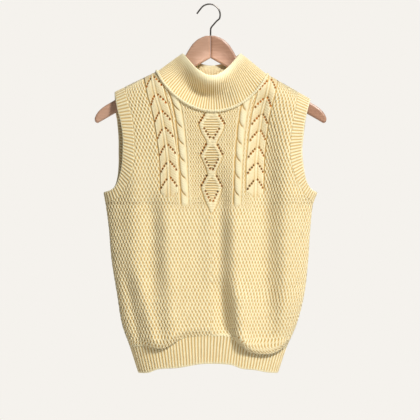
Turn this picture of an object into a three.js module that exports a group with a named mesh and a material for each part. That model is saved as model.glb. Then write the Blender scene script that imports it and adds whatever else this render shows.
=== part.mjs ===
// A knitted sweater vest on a wooden hanger: sleeveless, funnel collar, ribbed armbands and hem.
// Millimetres. The origin is the inside of the hook's crown, +Z is up and the front faces -Y.

import * as THREE from 'three';

// Cloth and seams
const bodyWall = 2.4;
const bandWall = 2.6;
const collarWall = 3;
const seamGap = 0.3;
const seamInset = 0.3; // how far each panel and band stays back from the seam line between them
const neckInset = 0.65; // the same below the neck seam and the shoulder, measured in height
const innerInset = 1.2; // how much further back the inner edge stays, so that seam edges slant
const ribRelief = 1.1;
const backArmholeBulge = { left: 9, right: 2 }; // the back reaches further out than the front

// Body outline seen from the front. Above the underarm it runs wider than the cloth,
// so that the armholes are cut out of one smooth round form.
const sideOutline = [
  { z: -100, left: -228, right: 228 },
  { z: -240, left: -221, right: 220 },
  { z: -310, left: -211, right: 210 },
  { z: -357, left: -202.9, right: 202.5 },
  { z: -377, left: -199.3, right: 194.6 },
  { z: -424, left: -193, right: 189.2 },
  { z: -485, left: -187.7, right: 185 },
  { z: -546, left: -177.8, right: 178.2 },
  { z: -606, left: -168, right: 163.2 },
  { z: -650, left: -152.6, right: 144.2 },
  { z: -698, left: -137.2, right: 128 },
];

// How far the body stands out from the plane of the shoulders, at its middle.
const bodyDepth = [
  { z: -100, front: 33, back: 27 },
  { z: -200, front: 36, back: 28 },
  { z: -300, front: 39, back: 30 },
  { z: -420, front: 41, back: 33 },
  { z: -560, front: 42, back: 36 },
  { z: -650, front: 40, back: 34 },
];
const hemDepth = { front: 34, back: 30 };
const hemTuckHeight = 16; // the body swells over the hem within this height
const roundness = 2.6; // exponent of the body's section, 2 is an ellipse
const shoulderRound = 35; // height over which the cloth turns over the shoulder

// Shoulder lines: height at the middle plane and fall for each millimetre outwards.
const shoulder = {
  left: { height: -78.5, fall: 0.48 },
  right: { height: -73, fall: 0.56 },
};

// Armholes from the shoulder down to the underarm: the seam to the body and the band's open edge.
const armholes = {
  left: [
    { seamX: -164.2, seamZ: -157.3, edgeX: -181.6, edgeZ: -165.7 },
    { seamX: -155.6, seamZ: -190.8, edgeX: -175.9, edgeZ: -198 },
    { seamX: -149.9, seamZ: -212.6, edgeX: -169.5, edgeZ: -222.7 },
    { seamX: -145.5, seamZ: -248.9, edgeX: -165.4, edgeZ: -253 },
    { seamX: -144.8, seamZ: -278, edgeX: -165.9, edgeZ: -285.2 },
    { seamX: -147.6, seamZ: -307, edgeX: -168, edgeZ: -307 },
    { seamX: -155.6, seamZ: -336.1, edgeX: -173.1, edgeZ: -328.9 },
    { seamX: -168.7, seamZ: -358, edgeX: -181.8, edgeZ: -347 },
    { seamX: -184.7, seamZ: -371.1, edgeX: -192.1, edgeZ: -354 },
    { seamX: -199.3, seamZ: -377, edgeX: -202.9, edgeZ: -357 },
  ],
  right: [
    { seamX: 166, seamZ: -166, edgeX: 189, edgeZ: -178.8 },
    { seamX: 158.8, seamZ: -206, edgeX: 181.3, edgeZ: -206.2 },
    { seamX: 155.5, seamZ: -224, edgeX: 177.7, edgeZ: -224 },
    { seamX: 151.8, seamZ: -252, edgeX: 174, edgeZ: -251.2 },
    { seamX: 150.2, seamZ: -277, edgeX: 171.8, edgeZ: -275.7 },
    { seamX: 153.5, seamZ: -308, edgeX: 174.6, edgeZ: -304.2 },
    { seamX: 160, seamZ: -326, edgeX: 180.5, edgeZ: -332.7 },
    { seamX: 168.5, seamZ: -343, edgeX: 185.4, edgeZ: -343.5 },
    { seamX: 180.5, seamZ: -362, edgeX: 192.5, edgeZ: -352.5 },
    { seamX: 194.6, seamZ: -377, edgeX: 202.5, edgeZ: -357 },
  ],
};
const underarm = -377;

// Neck: the seam ring that the collar grows from, and the collar's rim.
const neck = { middle: 3, halfWidth: 103, frontDrop: 73.5, backDrop: 42, curve: 1.6 };
const rim = {
  middle: 2, halfWidth: 56.5, frontReach: 45, backReach: 27,
  sideHeight: -93, frontDrop: 45, backDrop: 23, curve: 2.4,
};

// The front's hem, seen from the front: top seam and lower edge.
const hemTopLine = [
  { x: -152.6, z: -650 },
  { x: -124, z: -645.5 },
  { x: -100, z: -648 },
  { x: -80.6, z: -644.9 },
  { x: -54, z: -631.8 },
  { x: -30.4, z: -628.5 },
  { x: 35, z: -629.7 },
  { x: 59, z: -645.5 },
  { x: 72, z: -652.5 },
  { x: 109, z: -655.7 },
  { x: 144.2, z: -650 },
];
const hemBottomLine = [
  { x: -137.2, z: -698 },
  { x: -117.6, z: -696.5 },
  { x: -100, z: -690 },
  { x: -61, z: -687 },
  { x: -15, z: -679.5 },
  { x: 37.2, z: -681 },
  { x: 59, z: -688.5 },
  { x: 85.3, z: -691.5 },
  { x: 107.2, z: -696 },
  { x: 128, z: -698 },
];

// The back's hem, in even arches that stay hidden behind the front's.
const backHemTopLine = [
  { x: -152.6, z: -650 },
  { x: -80, z: -637 },
  { x: 0, z: -632 },
  { x: 75, z: -637 },
  { x: 144.2, z: -650 },
];
const backHemBottomLine = [
  { x: -137.2, z: -698 },
  { x: -75, z: -683 },
  { x: 0, z: -677 },
  { x: 70, z: -683 },
  { x: 128, z: -698 },
];

// Soft hollow and swelling of the collar's front: place across, half width and size.
const collarSwell = [
  { x: -20, width: 50, size: -23 },
  { x: 50, width: 18, size: 3 },
];
const collarShares = [0, 0.35, 0.68, 1]; // heights of the collar's rows of points

// Largest folds of the front: a line from top to bottom, a half width and a depth, which is
// positive for a trough and negative for a ridge.
const frontFolds = [
  { topX: -146, topZ: -300, bottomX: -148, bottomZ: -490, width: 17, depth: -5 },
  { topX: -142, topZ: -500, bottomX: -104, bottomZ: -650, width: 12, depth: -6 },
  { topX: -111, topZ: -380, bottomX: -107, bottomZ: -540, width: 16, depth: 7 },
  { topX: -162, topZ: -515, bottomX: -134, bottomZ: -645, width: 9, depth: 6 },
  { topX: -85, topZ: -380, bottomX: -74, bottomZ: -650, width: 17, depth: -6 },
  { topX: -20, topZ: -300, bottomX: -14, bottomZ: -600, width: 30, depth: 8 },
  { topX: 19, topZ: -340, bottomX: 20, bottomZ: -520, width: 16, depth: 10 },
  { topX: 20, topZ: -530, bottomX: 31, bottomZ: -655, width: 19, depth: 16 },
  { topX: 43, topZ: -400, bottomX: 44, bottomZ: -520, width: 15, depth: -7 },
  { topX: 46, topZ: -530, bottomX: 61, bottomZ: -655, width: 17, depth: -13 },
  { topX: 98, topZ: -210, bottomX: 108, bottomZ: -600, width: 26, depth: 18 },
  { topX: 146, topZ: -250, bottomX: 142, bottomZ: -620, width: 24, depth: -12 },
];
const backFolds = [
  { topX: -88, topZ: -380, bottomX: -80, bottomZ: -590, width: 12, depth: 6 },
  { topX: 4, topZ: -420, bottomX: -8, bottomZ: -610, width: 14, depth: 4 },
  { topX: 95, topZ: -370, bottomX: 82, bottomZ: -600, width: 12, depth: 6 },
];

// Stitch lines that the front's columns of points follow: distances from the centre line.
// A column's place across half the front is 0 at the centre line and 1 at the border.
const centreLine = 0.8;
const linePlace = { cable: 0.3, leaf: 0.5, lobeEnd: 0.62 };
const stitchLines = [
  { z: -139, cable: 86, leaf: 111.4 },
  { z: -171, cable: 76, leaf: 104.9 },
  { z: -203, cable: 66, leaf: 95.8 },
  { z: -235, cable: 59.6, leaf: 89.9 },
  { z: -267, cable: 55.5, leaf: 85 },
  { z: -298, cable: 53.2, leaf: 81.4 },
  { z: -330, cable: 51.4, leaf: 80.4 },
  { z: -375, cable: 49.6, leaf: 79.8 },
  { z: -450, cable: 49, leaf: 80.8 },
  { z: -640, cable: 45, leaf: 76 },
];

// Raised stitchwork of the yoke
const cable = { halfWidth: 8, relief: 2, pitch: 32.5, end: -382 };
const leaf = { lobe: 16, relief: 1.5, pitch: 31.8, slope: 1.15, end: -366 };
const diamond = {
  top: -206, widest: 24, waist: 10.5, pitch: 60.5, firstWidest: -225, end: -388, band: 4.5, relief: 1.5,
};

// Numbers of ribs all round, and of columns and rows of points on the panels
const ribs = { collar: 112, armband: 80, hem: 53 };
const frontColumns = { centre: 13, cableToLeaf: 7, lobe: 4, side: 8 };
const frontRows = { body: 11, yoke: 36 };
const backGrid = { columns: 34, body: 7, yoke: 26 };
const sideCrowding = 1.8; // power by which columns crowd towards a border
const underarmCrowding = 1.4;
const shoulderCrowding = 1.5;

// Hanger
const wood = { thickness: 12, bevel: 3.5, jointGap: 0.3 };
const hump = [
  { x: 9.8, z: -59 },
  { x: 23, z: -64.8 },
  { x: 30.2, z: -70.5 },
  { x: 35.5, z: -76.2 },
  { x: 42.9, z: -87.6 },
  { x: 48.5, z: -98 },
];
const humpTop = -58.5;
const arm = {
  footX: 57, footZ: -108.6, kneeX: 105, kneeZ: -136.2, shoulderX: 200, shoulderZ: -191.5,
  tipX: 220, tipZ: -215, heelX: 214, heelZ: -224.5, notchZ: -101,
};
const wire = { radius: 1.5, ringX: -2.1, ringRadius: 20.3, start: -22, end: 143, tail: 13 };

// A smooth curve through one column of a table, looked up by another column.
function curveThrough(rows, key, column) {
  const sorted = [...rows].sort((a, b) => a[key] - b[key]);
  const last = sorted.length - 1;
  const slopes = sorted.map((row, i) => {
    const before = sorted[Math.max(i - 1, 0)];
    const after = sorted[Math.min(i + 1, last)];
    return (after[column] - before[column]) / (after[key] - before[key]);
  });
  return value => {
    const at = THREE.MathUtils.clamp(value, sorted[0][key], sorted[last][key]);
    const i = Math.min(Math.max(sorted.findIndex(row => row[key] > at) - 1, 0), last - 1);
    const index = at === sorted[last][key] ? last - 1 : i;
    const low = sorted[index];
    const high = sorted[index + 1];
    const span = high[key] - low[key];
    const t = (at - low[key]) / span;
    const ease = t * t * (3 - 2 * t);
    const lift = t * (1 - t) * span;
    return low[column] + (high[column] - low[column]) * ease
      + lift * ((1 - t) * slopes[index] - t * slopes[index + 1]);
  };
}

const smoothstep = t => THREE.MathUtils.smoothstep(t, 0, 1);
const outlineAt = {
  left: curveThrough(sideOutline, 'z', 'left'),
  right: curveThrough(sideOutline, 'z', 'right'),
};
const depthAt = {
  front: curveThrough(bodyDepth, 'z', 'front'),
  back: curveThrough(bodyDepth, 'z', 'back'),
};
const hemTop = {
  front: curveThrough(hemTopLine, 'x', 'z'),
  back: curveThrough(backHemTopLine, 'x', 'z'),
};
const hemBottom = {
  front: curveThrough(hemBottomLine, 'x', 'z'),
  back: curveThrough(backHemBottomLine, 'x', 'z'),
};
const folds = { front: frontFolds, back: backFolds };
const outward = { front: -1, back: 1 };

function ridgeHeight(x) {
  const side = x < 0 ? shoulder.left : shoulder.right;
  return side.height - side.fall * Math.abs(x);
}

// Height of the neck seam at x, and whether x lies within the neck.
function neckHeight(x, face) {
  const across = (x - neck.middle) / neck.halfWidth;
  const sides = THREE.MathUtils.lerp(
    ridgeHeight(neck.middle - neck.halfWidth), ridgeHeight(neck.middle + neck.halfWidth), (across + 1) / 2);
  const drop = face === 'front' ? neck.frontDrop : neck.backDrop;
  return sides - drop * Math.max(1 - across * across, 0) ** (neck.curve / 2);
}

function topHeight(x, face) {
  const within = Math.abs(x - neck.middle) < neck.halfWidth;
  return within ? Math.min(neckHeight(x, face), ridgeHeight(x)) : ridgeHeight(x);
}

// Soft trough or ridge along a line, faded at both of its ends.
function foldDepth(fold, x, z) {
  const t = (fold.topZ - z) / (fold.topZ - fold.bottomZ);
  const line = fold.topX + (fold.bottomX - fold.topX) * THREE.MathUtils.clamp(t, 0, 1);
  const fade = smoothstep((t + 0.25) / 0.45) * smoothstep((1.2 - t) / 0.35);
  return fold.depth * fade * Math.exp(-(((x - line) / fold.width) ** 2));
}

// How far the cloth's outer face stands out from the middle plane.
function bodyReach(x, z, face) {
  const left = outlineAt.left(z);
  const right = outlineAt.right(z);
  const across = Math.min(Math.abs((x - (left + right) / 2) / ((right - left) / 2)), 1);
  const section = Math.sqrt(1 - across ** roundness);
  const fall = THREE.MathUtils.clamp((ridgeHeight(x) - z) / shoulderRound, 0, 1);
  const overShoulder = Math.sqrt(1 - (1 - fall) ** 2);
  const aboveHem = smoothstep((z - hemTop[face](x)) / hemTuckHeight);
  const depth = THREE.MathUtils.lerp(hemDepth[face], depthAt[face](z), aboveHem);
  const creases = folds[face].reduce((sum, fold) => sum + foldDepth(fold, x, z), 0);
  return section * overShoulder * (depth - creases * aboveHem);
}

const bodyPoint = (x, z, face) =>
  new THREE.Vector3(x, outward[face] * bodyReach(x, z, face), z);

// Armhole seam and edge as curves of height, for one side and face.
function armholeCurve(side, kind, face) {
  const rows = armholes[side];
  const curve = curveThrough(rows, `${kind}Z`, `${kind}X`);
  const top = rows[0][`${kind}Z`];
  const bottom = rows[rows.length - 1][`${kind}Z`];
  const sign = side === 'left' ? -1 : 1;
  const bulge = face === 'back' ? sign * backArmholeBulge[side] : 0;
  return {
    top,
    bottom,
    x: z => curve(z) + bulge * Math.sin(Math.PI * THREE.MathUtils.clamp((z - bottom) / (top - bottom), 0, 1)),
  };
}

// Left or right border of a panel at a height: the side seam, then the armhole seam.
function panelBorder(side, face) {
  const seam = armholeCurve(side, 'seam', face);
  const inwards = side === 'left' ? 1 : -1;
  const step = 0.5;
  return z => {
    if (z <= underarm - seamInset) return outlineAt[side](z);
    const slope = (seam.x(z + step) - seam.x(z - step)) / (2 * step);
    return seam.x(z) + inwards * seamInset * Math.sqrt(1 + slope * slope);
  };
}

// Shares from 0 to 1 that lie closer together towards 1.
const crowded = (count, power) =>
  Array.from({ length: count }, (_, i) => 1 - (1 - (i + 1) / count) ** power);

const mirrored = half => [...half.map(place => -place).reverse(), 0, ...half];

// Places of the front's columns, even between the stitch lines and crowded at the border.
function frontPlaces() {
  const { centre, cableToLeaf, lobe, side } = frontColumns;
  const even = (from, to, count) =>
    Array.from({ length: count }, (_, i) => THREE.MathUtils.lerp(from, to, (i + 1) / count));
  return mirrored([
    ...even(0, linePlace.cable, centre),
    ...even(linePlace.cable, linePlace.leaf, cableToLeaf),
    ...even(linePlace.leaf, linePlace.lobeEnd, lobe),
    ...crowded(side, sideCrowding).map(share => THREE.MathUtils.lerp(linePlace.lobeEnd, 1, share)),
  ]);
}

const backPlaces = () => mirrored(crowded(backGrid.columns / 2, sideCrowding));

const cableAt = curveThrough(stitchLines, 'z', 'cable');
const leafAt = curveThrough(stitchLines, 'z', 'leaf');

// x of a place across the front at a height, straight between the neighbouring stitch lines.
function frontColumn(borders, place, z) {
  const side = place < 0 ? 'left' : 'right';
  const sign = place < 0 ? -1 : 1;
  const knots = [
    { place: 0, x: centreLine },
    { place: linePlace.cable, x: centreLine + sign * cableAt(z) },
    { place: linePlace.leaf, x: centreLine + sign * leafAt(z) },
    { place: 1, x: borders[side](z) },
  ];
  const far = Math.abs(place);
  const next = Math.max(knots.findIndex(knot => knot.place >= far), 1);
  const low = knots[next - 1];
  const high = knots[next];
  return THREE.MathUtils.lerp(low.x, high.x, (far - low.place) / (high.place - low.place));
}

const backColumn = (borders, place, z) =>
  THREE.MathUtils.lerp(borders.left(z), borders.right(z), (place + 1) / 2);

// Height where a column of points meets the panel's top: the neck seam or the shoulder.
function columnTop(column, borders, place, face) {
  let low = underarm;
  let high = ridgeHeight(0);
  for (let i = 0; i < 40; i++) {
    const z = (low + high) / 2;
    if (z < topHeight(column(borders, place, z), face)) low = z;
    else high = z;
  }
  return low;
}

function columnBottom(column, borders, place, face) {
  let z = hemTopLine[0].z;
  for (let i = 0; i < 6; i++) z = hemTop[face](column(borders, place, z)) + seamInset;
  return z;
}

// Height shares of the rows in the yoke, closer together at the underarm and at the top.
const yokeShare = t =>
  (t < 0.5 ? (2 * t) ** underarmCrowding / 2 : 1 - (2 - 2 * t) ** shoulderCrowding / 2);

// Grid of outer points of a panel without its stitchwork: rows from hem to neck.
function panelGrid(face, column, places, bodyRows, yokeRows) {
  const borders = { left: panelBorder('left', face), right: panelBorder('right', face) };
  const waist = underarm - seamInset;
  const tops = places.map(place => columnTop(column, borders, place, face) - neckInset);
  const bottoms = places.map(place => columnBottom(column, borders, place, face));
  const rows = [];
  for (let r = 0; r <= bodyRows + yokeRows; r++) {
    rows.push(places.map((place, c) => {
      const z = r <= bodyRows
        ? THREE.MathUtils.lerp(bottoms[c], waist, r / bodyRows)
        : THREE.MathUtils.lerp(waist, tops[c], yokeShare((r - bodyRows) / yokeRows));
      const point = bodyPoint(column(borders, place, z), z, face);
      point.y = outward[face] * Math.max(Math.abs(point.y), seamGap / 2);
      return point;
    }));
  }
  return rows;
}

// Outward normals of a grid from its neighbours. Where a seam lies in the middle plane,
// the normal lies in that plane too, so that both sides of the seam stay parallel.
function gridNormals(rows, closed, outwardAt) {
  const count = rows[0].length;
  const wrap = c => (closed ? (c + count) % count : THREE.MathUtils.clamp(c, 0, count - 1));
  return rows.map((row, r) => row.map((point, c) => {
    const across = rows[r][wrap(c + 1)].clone().sub(rows[r][wrap(c - 1)]);
    const up = rows[Math.min(r + 1, rows.length - 1)][c].clone().sub(rows[Math.max(r - 1, 0)][c]);
    const normal = across.cross(up).normalize();
    if (normal.dot(outwardAt(point)) < 0) normal.negate();
    if (Math.abs(point.y) <= seamGap / 2 && !closed) normal.setY(0).normalize();
    return normal;
  }));
}

// Closed wall from a grid of outer points: relief raises them along their normals, and the inner
// face keeps every row and column named in keep, set back by the wall.
function wallGeometry({ rows, wall, relief, keep, closed, outwardAt }) {
  const normals = gridNormals(rows, closed, outwardAt);
  const positions = [];
  const triangles = [];
  const add = point => positions.push(point.x, point.y, point.z) / 3 - 1;
  const outer = rows.map((row, r) => row.map((point, c) =>
    add(point.clone().addScaledVector(normals[r][c], relief(r, c, point)))));
  const innerPoints = keep.rows.map(r => keep.columns.map(c =>
    rows[r][c].clone().addScaledVector(normals[r][c], -wall)));
  const inner = setBorderBack(innerPoints, closed).map(line => line.map(add));
  const quad = (a, b, c, d) => triangles.push(a, b, c, a, c, d);
  const sheet = (grid, flip) => {
    for (let r = 0; r + 1 < grid.length; r++) {
      const width = grid[r].length;
      for (let c = 0; c + (closed ? 0 : 1) < width; c++) {
        const next = (c + 1) % width;
        if (flip) quad(grid[r][c], grid[r + 1][c], grid[r + 1][next], grid[r][next]);
        else quad(grid[r][c], grid[r][next], grid[r + 1][next], grid[r + 1][c]);
      }
    }
  };
  // Strip between a border's outer points and the fewer inner points, whose places are in stops.
  const strip = (outerLine, innerLine, stops, flip) => {
    for (let k = 0; k + 1 < stops.length; k++) {
      const mid = Math.floor((stops[k] + stops[k + 1]) / 2);
      for (let i = stops[k]; i < stops[k + 1]; i++) {
        const fan = innerLine[i < mid ? k : k + 1];
        const face = [outerLine[i], outerLine[i + 1], fan];
        triangles.push(...(flip ? face.reverse() : face));
      }
      const face = [innerLine[k], outerLine[mid], innerLine[k + 1]];
      triangles.push(...(flip ? face.reverse() : face));
    }
  };
  sheet(outer, false);
  sheet(inner, true);
  const round = line => (closed ? [...line, line[0]] : line);
  const columnStops = closed ? [...keep.columns, rows[0].length] : keep.columns;
  strip(round(outer[0]), round(inner[0]), columnStops, true);
  strip(round(outer.at(-1)), round(inner.at(-1)), columnStops, false);
  if (!closed) {
    strip(outer.map(row => row[0]), inner.map(row => row[0]), keep.rows, false);
    strip(outer.map(row => row.at(-1)), inner.map(row => row.at(-1)), keep.rows, true);
  }
  const geometry = new THREE.BufferGeometry();
  geometry.setAttribute('position', new THREE.Float32BufferAttribute(positions, 3));
  geometry.setIndex(triangles);
  turnOutwards(geometry);
  geometry.computeVertexNormals();
  return geometry;
}

// Moves the border points of a grid towards their neighbours further in.
function setBorderBack(grid, closed) {
  const towards = (point, next) => {
    const step = next.clone().sub(point);
    return point.clone().addScaledVector(step.normalize(), innerInset);
  };
  const moved = grid.map(line => [...line]);
  moved[0] = grid[0].map((point, c) => towards(point, grid[1][c]));
  moved[grid.length - 1] = grid.at(-1).map((point, c) => towards(point, grid.at(-2)[c]));
  if (closed) return moved;
  return moved.map(line => {
    const sides = [...line];
    sides[0] = towards(line[0], line[1]);
    sides[line.length - 1] = towards(line.at(-1), line.at(-2));
    return sides;
  });
}

// Turns all the triangles round if they enclose a negative volume.
function turnOutwards(geometry) {
  const position = geometry.attributes.position;
  const index = geometry.index.array;
  const [a, b, c] = [new THREE.Vector3(), new THREE.Vector3(), new THREE.Vector3()];
  let volume = 0;
  for (let i = 0; i < index.length; i += 3) {
    a.fromBufferAttribute(position, index[i]);
    b.fromBufferAttribute(position, index[i + 1]);
    c.fromBufferAttribute(position, index[i + 2]);
    volume += a.dot(b.cross(c));
  }
  if (volume < 0) index.reverse();
}

// Line numbers that the plain inner face keeps: all near both ends, every few between.
function keptLines(count, step, dense) {
  const lines = [];
  for (let i = 0; i <= count; i++) {
    const near = Math.min(i, count - i);
    if (near <= dense || i % step === 0) lines.push(i);
  }
  return lines;
}

function cableRelief(x, z) {
  const off = Math.abs(Math.abs(x - centreLine) - cableAt(z));
  if (off > cable.halfWidth || z < cable.end) return 0;
  const twist = 0.75 + 0.25 * Math.cos(2 * Math.PI * z / cable.pitch);
  return cable.relief * twist * Math.cos(Math.PI * off / (2 * cable.halfWidth)) ** 2;
}

function leafRelief(x, z) {
  const off = Math.abs(Math.abs(x - centreLine) - leafAt(z));
  if (off > leaf.lobe || z < leaf.end) return 0;
  const chevron = 0.65 + 0.35 * Math.cos(2 * Math.PI * (z + leaf.slope * off) / leaf.pitch);
  return leaf.relief * chevron * Math.sin(Math.PI * off / leaf.lobe) ** 2;
}

function diamondRelief(x, z) {
  if (z > diamond.top || z < diamond.end) return 0;
  const swing = Math.abs(((diamond.firstWidest - z) / diamond.pitch + 8.5) % 1 - 0.5) * 2;
  const halfWidth = THREE.MathUtils.lerp(diamond.widest, diamond.waist, swing);
  const off = Math.abs(Math.abs(x - centreLine) - halfWidth);
  return off > diamond.band ? 0 : diamond.relief * Math.cos(Math.PI * off / (2 * diamond.band));
}

const yokeRelief = (r, c, point) =>
  Math.max(cableRelief(point.x, point.z), leafRelief(point.x, point.z), diamondRelief(point.x, point.z));
const ribbed = (r, c) => (c % 2 ? ribRelief : 0);
const plain = () => 0;

// Points spaced evenly along a line of many points.
function resample(points, count) {
  const lengths = [0];
  for (let i = 1; i < points.length; i++) {
    lengths.push(lengths[i - 1] + points[i].distanceTo(points[i - 1]));
  }
  const total = lengths[lengths.length - 1];
  let i = 0;
  return Array.from({ length: count + 1 }, (_, k) => {
    const at = total * k / count;
    while (i + 2 < lengths.length && lengths[i + 1] < at) i++;
    const t = (at - lengths[i]) / (lengths[i + 1] - lengths[i]);
    return points[i].clone().lerp(points[i + 1], Math.min(t, 1));
  });
}

// Shares from 0 to 1 that crowd at both ends, for lines that turn over a shoulder or a side.
const fineSteps = 240;
const turning = Array.from({ length: fineSteps + 1 }, (_, i) => (1 - Math.cos(Math.PI * i / fineSteps)) / 2);

function panelMesh(name, face, column, places, bodyRows, yokeRows, relief, keepStep) {
  const rows = panelGrid(face, column, places, bodyRows, yokeRows);
  const keep = {
    rows: keptLines(rows.length - 1, keepStep, 3),
    columns: keptLines(places.length - 1, keepStep, 2),
  };
  const outwardAt = () => new THREE.Vector3(0, outward[face], 0);
  return clothMesh(name, wallGeometry({ rows, wall: bodyWall, relief, keep, closed: false, outwardAt }));
}

// One side of an armband, on the front or the back, from the shoulder down to the underarm.
function bandSide(side, face, share) {
  const seam = armholeCurve(side, 'seam', face);
  const edge = armholeCurve(side, 'edge', face);
  const line = (curve, inset) => resample(turning.map(t => {
    const z = THREE.MathUtils.lerp(curve.top, curve.bottom, t);
    return bodyPoint(curve.x(z) + inset, z, face);
  }), ribs.armband);
  const seamLine = line(seam, 0);
  const edgeLine = line(edge, 0);
  return seamLine.map((point, i) => {
    const mixed = point.clone().lerp(edgeLine[i], share);
    return bodyPoint(mixed.x, mixed.z, face);
  });
}

function armbandMesh(name, side) {
  const centre = new THREE.Vector3(0, 0, (armholes[side][0].seamZ + underarm) / 2);
  const rows = [0, 1].map(share => {
    const front = bandSide(side, 'front', share);
    const back = bandSide(side, 'back', share).reverse();
    return [...front.slice(0, -1), ...back.slice(0, -1)];
  });
  const columns = Array.from({ length: ribs.armband }, (_, i) => 2 * i);
  const outwardAt = point => new THREE.Vector3(point.x * 0.2, point.y * 4, (point.z - centre.z) * 0.2);
  const keep = { rows: [0, 1], columns };
  return clothMesh(name, wallGeometry({
    rows, wall: bandWall, relief: ribbed, keep, closed: true, outwardAt,
  }));
}

// Half of the neck seam or of the collar's rim, from the left side to the right.
function neckLine(face) {
  return turning.map(t => {
    const x = neck.middle + neck.halfWidth * Math.sin(Math.PI * (t - 0.5));
    return bodyPoint(x, Math.min(neckHeight(x, face) + seamInset, ridgeHeight(x)), face);
  });
}

function rimLine(face) {
  const reach = face === 'front' ? rim.frontReach : rim.backReach;
  const drop = face === 'front' ? rim.frontDrop : rim.backDrop;
  return turning.map(t => {
    const angle = Math.PI * (t - 0.5);
    const depth = Math.max(Math.cos(angle), 0);
    return new THREE.Vector3(
      rim.middle + rim.halfWidth * Math.sin(angle),
      outward[face] * reach * depth,
      rim.sideHeight - drop * depth ** rim.curve);
  });
}

function collarMesh() {
  const ring = line => {
    const front = resample(line('front'), ribs.collar);
    const back = resample(line('back'), ribs.collar).reverse();
    return [...front.slice(0, -1), ...back.slice(0, -1)];
  };
  const base = ring(neckLine);
  const top = ring(rimLine);
  const outwardAt = point => new THREE.Vector3(point.x - neck.middle, 2 * point.y, 0);
  const swell = (point, share) => {
    const size = collarSwell.reduce(
      (sum, row) => sum + row.size * Math.exp(-(((point.x - row.x) / row.width) ** 2)), 0);
    return size * smoothstep(-point.y / 20) * Math.sin(Math.PI * share ** 0.75) ** 2;
  };
  const rows = collarShares.map(share => base.map((point, i) => {
    const mixed = point.clone().lerp(top[i], share);
    return mixed.addScaledVector(outwardAt(mixed).normalize(), swell(mixed, share));
  }));
  const columns = Array.from({ length: ribs.collar }, (_, i) => 2 * i);
  return clothMesh('collar', wallGeometry({
    rows, wall: collarWall, relief: ribbed, keep: { rows: [0, 1, 2, 3], columns }, closed: true, outwardAt,
  }));
}

function hemMesh(name, face) {
  const line = height => {
    const fine = turning.map(t => {
      const across = Math.sin(Math.PI * (t - 0.5));
      let z = height(0);
      let x = 0;
      for (let i = 0; i < 8; i++) {
        x = THREE.MathUtils.lerp(outlineAt.left(z), outlineAt.right(z), (across + 1) / 2);
        z = height(x);
      }
      const point = bodyPoint(x, z, face);
      point.y = outward[face] * Math.max(Math.abs(point.y), seamGap / 2);
      return point;
    });
    return resample(fine, 2 * ribs.hem);
  };
  const top = line(x => hemTop[face](x) - seamInset);
  const middle = line(x => (hemTop[face](x) + hemBottom[face](x)) / 2);
  const bottom = line(hemBottom[face]);
  const rows = [bottom, middle, top];
  const columns = Array.from({ length: ribs.hem + 1 }, (_, i) => 2 * i);
  const outwardAt = () => new THREE.Vector3(0, outward[face], 0);
  return clothMesh(name, wallGeometry({
    rows, wall: bandWall, relief: ribbed, keep: { rows: [0, 2], columns }, closed: false, outwardAt,
  }));
}

// One wooden half of the hanger, from the joint in the middle to the tip.
function hangerHalf(name, sign, colour) {
  const joint = wood.jointGap / 2;
  const outline = new THREE.Shape();
  outline.moveTo(sign * joint, humpTop);
  outline.splineThru(hump.map(row => new THREE.Vector2(sign * row.x, row.z)));
  outline.lineTo(sign * arm.footX, arm.footZ);
  outline.lineTo(sign * arm.kneeX, arm.kneeZ);
  outline.lineTo(sign * arm.shoulderX, arm.shoulderZ);
  outline.quadraticCurveTo(sign * (arm.tipX - 4), arm.shoulderZ - 10, sign * arm.tipX, arm.tipZ);
  outline.quadraticCurveTo(sign * (arm.tipX + 1), arm.heelZ, sign * arm.heelX, arm.heelZ);
  outline.lineTo(sign * joint, arm.notchZ);
  outline.closePath();
  const geometry = new THREE.ExtrudeGeometry(outline, {
    depth: wood.thickness - 2 * wood.bevel,
    bevelThickness: wood.bevel,
    bevelSize: wood.bevel,
    bevelOffset: -wood.bevel,
    bevelSegments: 2,
    curveSegments: 4,
  });
  geometry.translate(0, 0, wood.bevel - wood.thickness / 2);
  geometry.rotateX(Math.PI / 2);
  const material = new THREE.MeshStandardMaterial({ color: colour, roughness: 0.45, metalness: 0 });
  const mesh = new THREE.Mesh(geometry, material);
  mesh.name = name;
  return mesh;
}

// The wire hook: up from the wood, bent aside, round the crown and out to a short tail.
function hookMesh() {
  const ringZ = wire.radius - wire.ringRadius;
  const around = degrees => {
    const angle = THREE.MathUtils.degToRad(degrees);
    return new THREE.Vector3(
      wire.ringX + wire.ringRadius * Math.cos(angle), 0, ringZ + wire.ringRadius * Math.sin(angle));
  };
  const points = [
    new THREE.Vector3(0, 0, humpTop + wood.jointGap),
    new THREE.Vector3(0, 0, humpTop + 7),
    new THREE.Vector3(0.6, 0, humpTop + 14),
    new THREE.Vector3(6.5, 0, humpTop + 22),
    new THREE.Vector3(13, 0, humpTop + 29),
  ];
  const steps = 14;
  for (let i = 0; i <= steps; i++) points.push(around(wire.start + (wire.end - wire.start) * i / steps));
  const last = around(wire.end);
  const tangent = THREE.MathUtils.degToRad(wire.end + 90);
  points.push(new THREE.Vector3(
    last.x + wire.tail * Math.cos(tangent), 0, last.z + wire.tail * Math.sin(tangent)));
  const section = new THREE.Shape().absarc(0, 0, wire.radius, 0, 2 * Math.PI);
  const geometry = new THREE.ExtrudeGeometry(section, {
    extrudePath: new THREE.CatmullRomCurve3(points, false, 'centripetal'),
    steps: 46,
    curveSegments: 4,
  });
  const mesh = new THREE.Mesh(geometry, new THREE.MeshStandardMaterial({
    color: 0x55534f, roughness: 0.35, metalness: 1,
  }));
  mesh.name = 'hanger_hook';
  return mesh;
}

function clothMesh(name, geometry) {
  const mesh = new THREE.Mesh(geometry, new THREE.MeshStandardMaterial({
    color: 0xead9a2, roughness: 0.9, metalness: 0, side: THREE.DoubleSide,
  }));
  mesh.name = name;
  return mesh;
}

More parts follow.
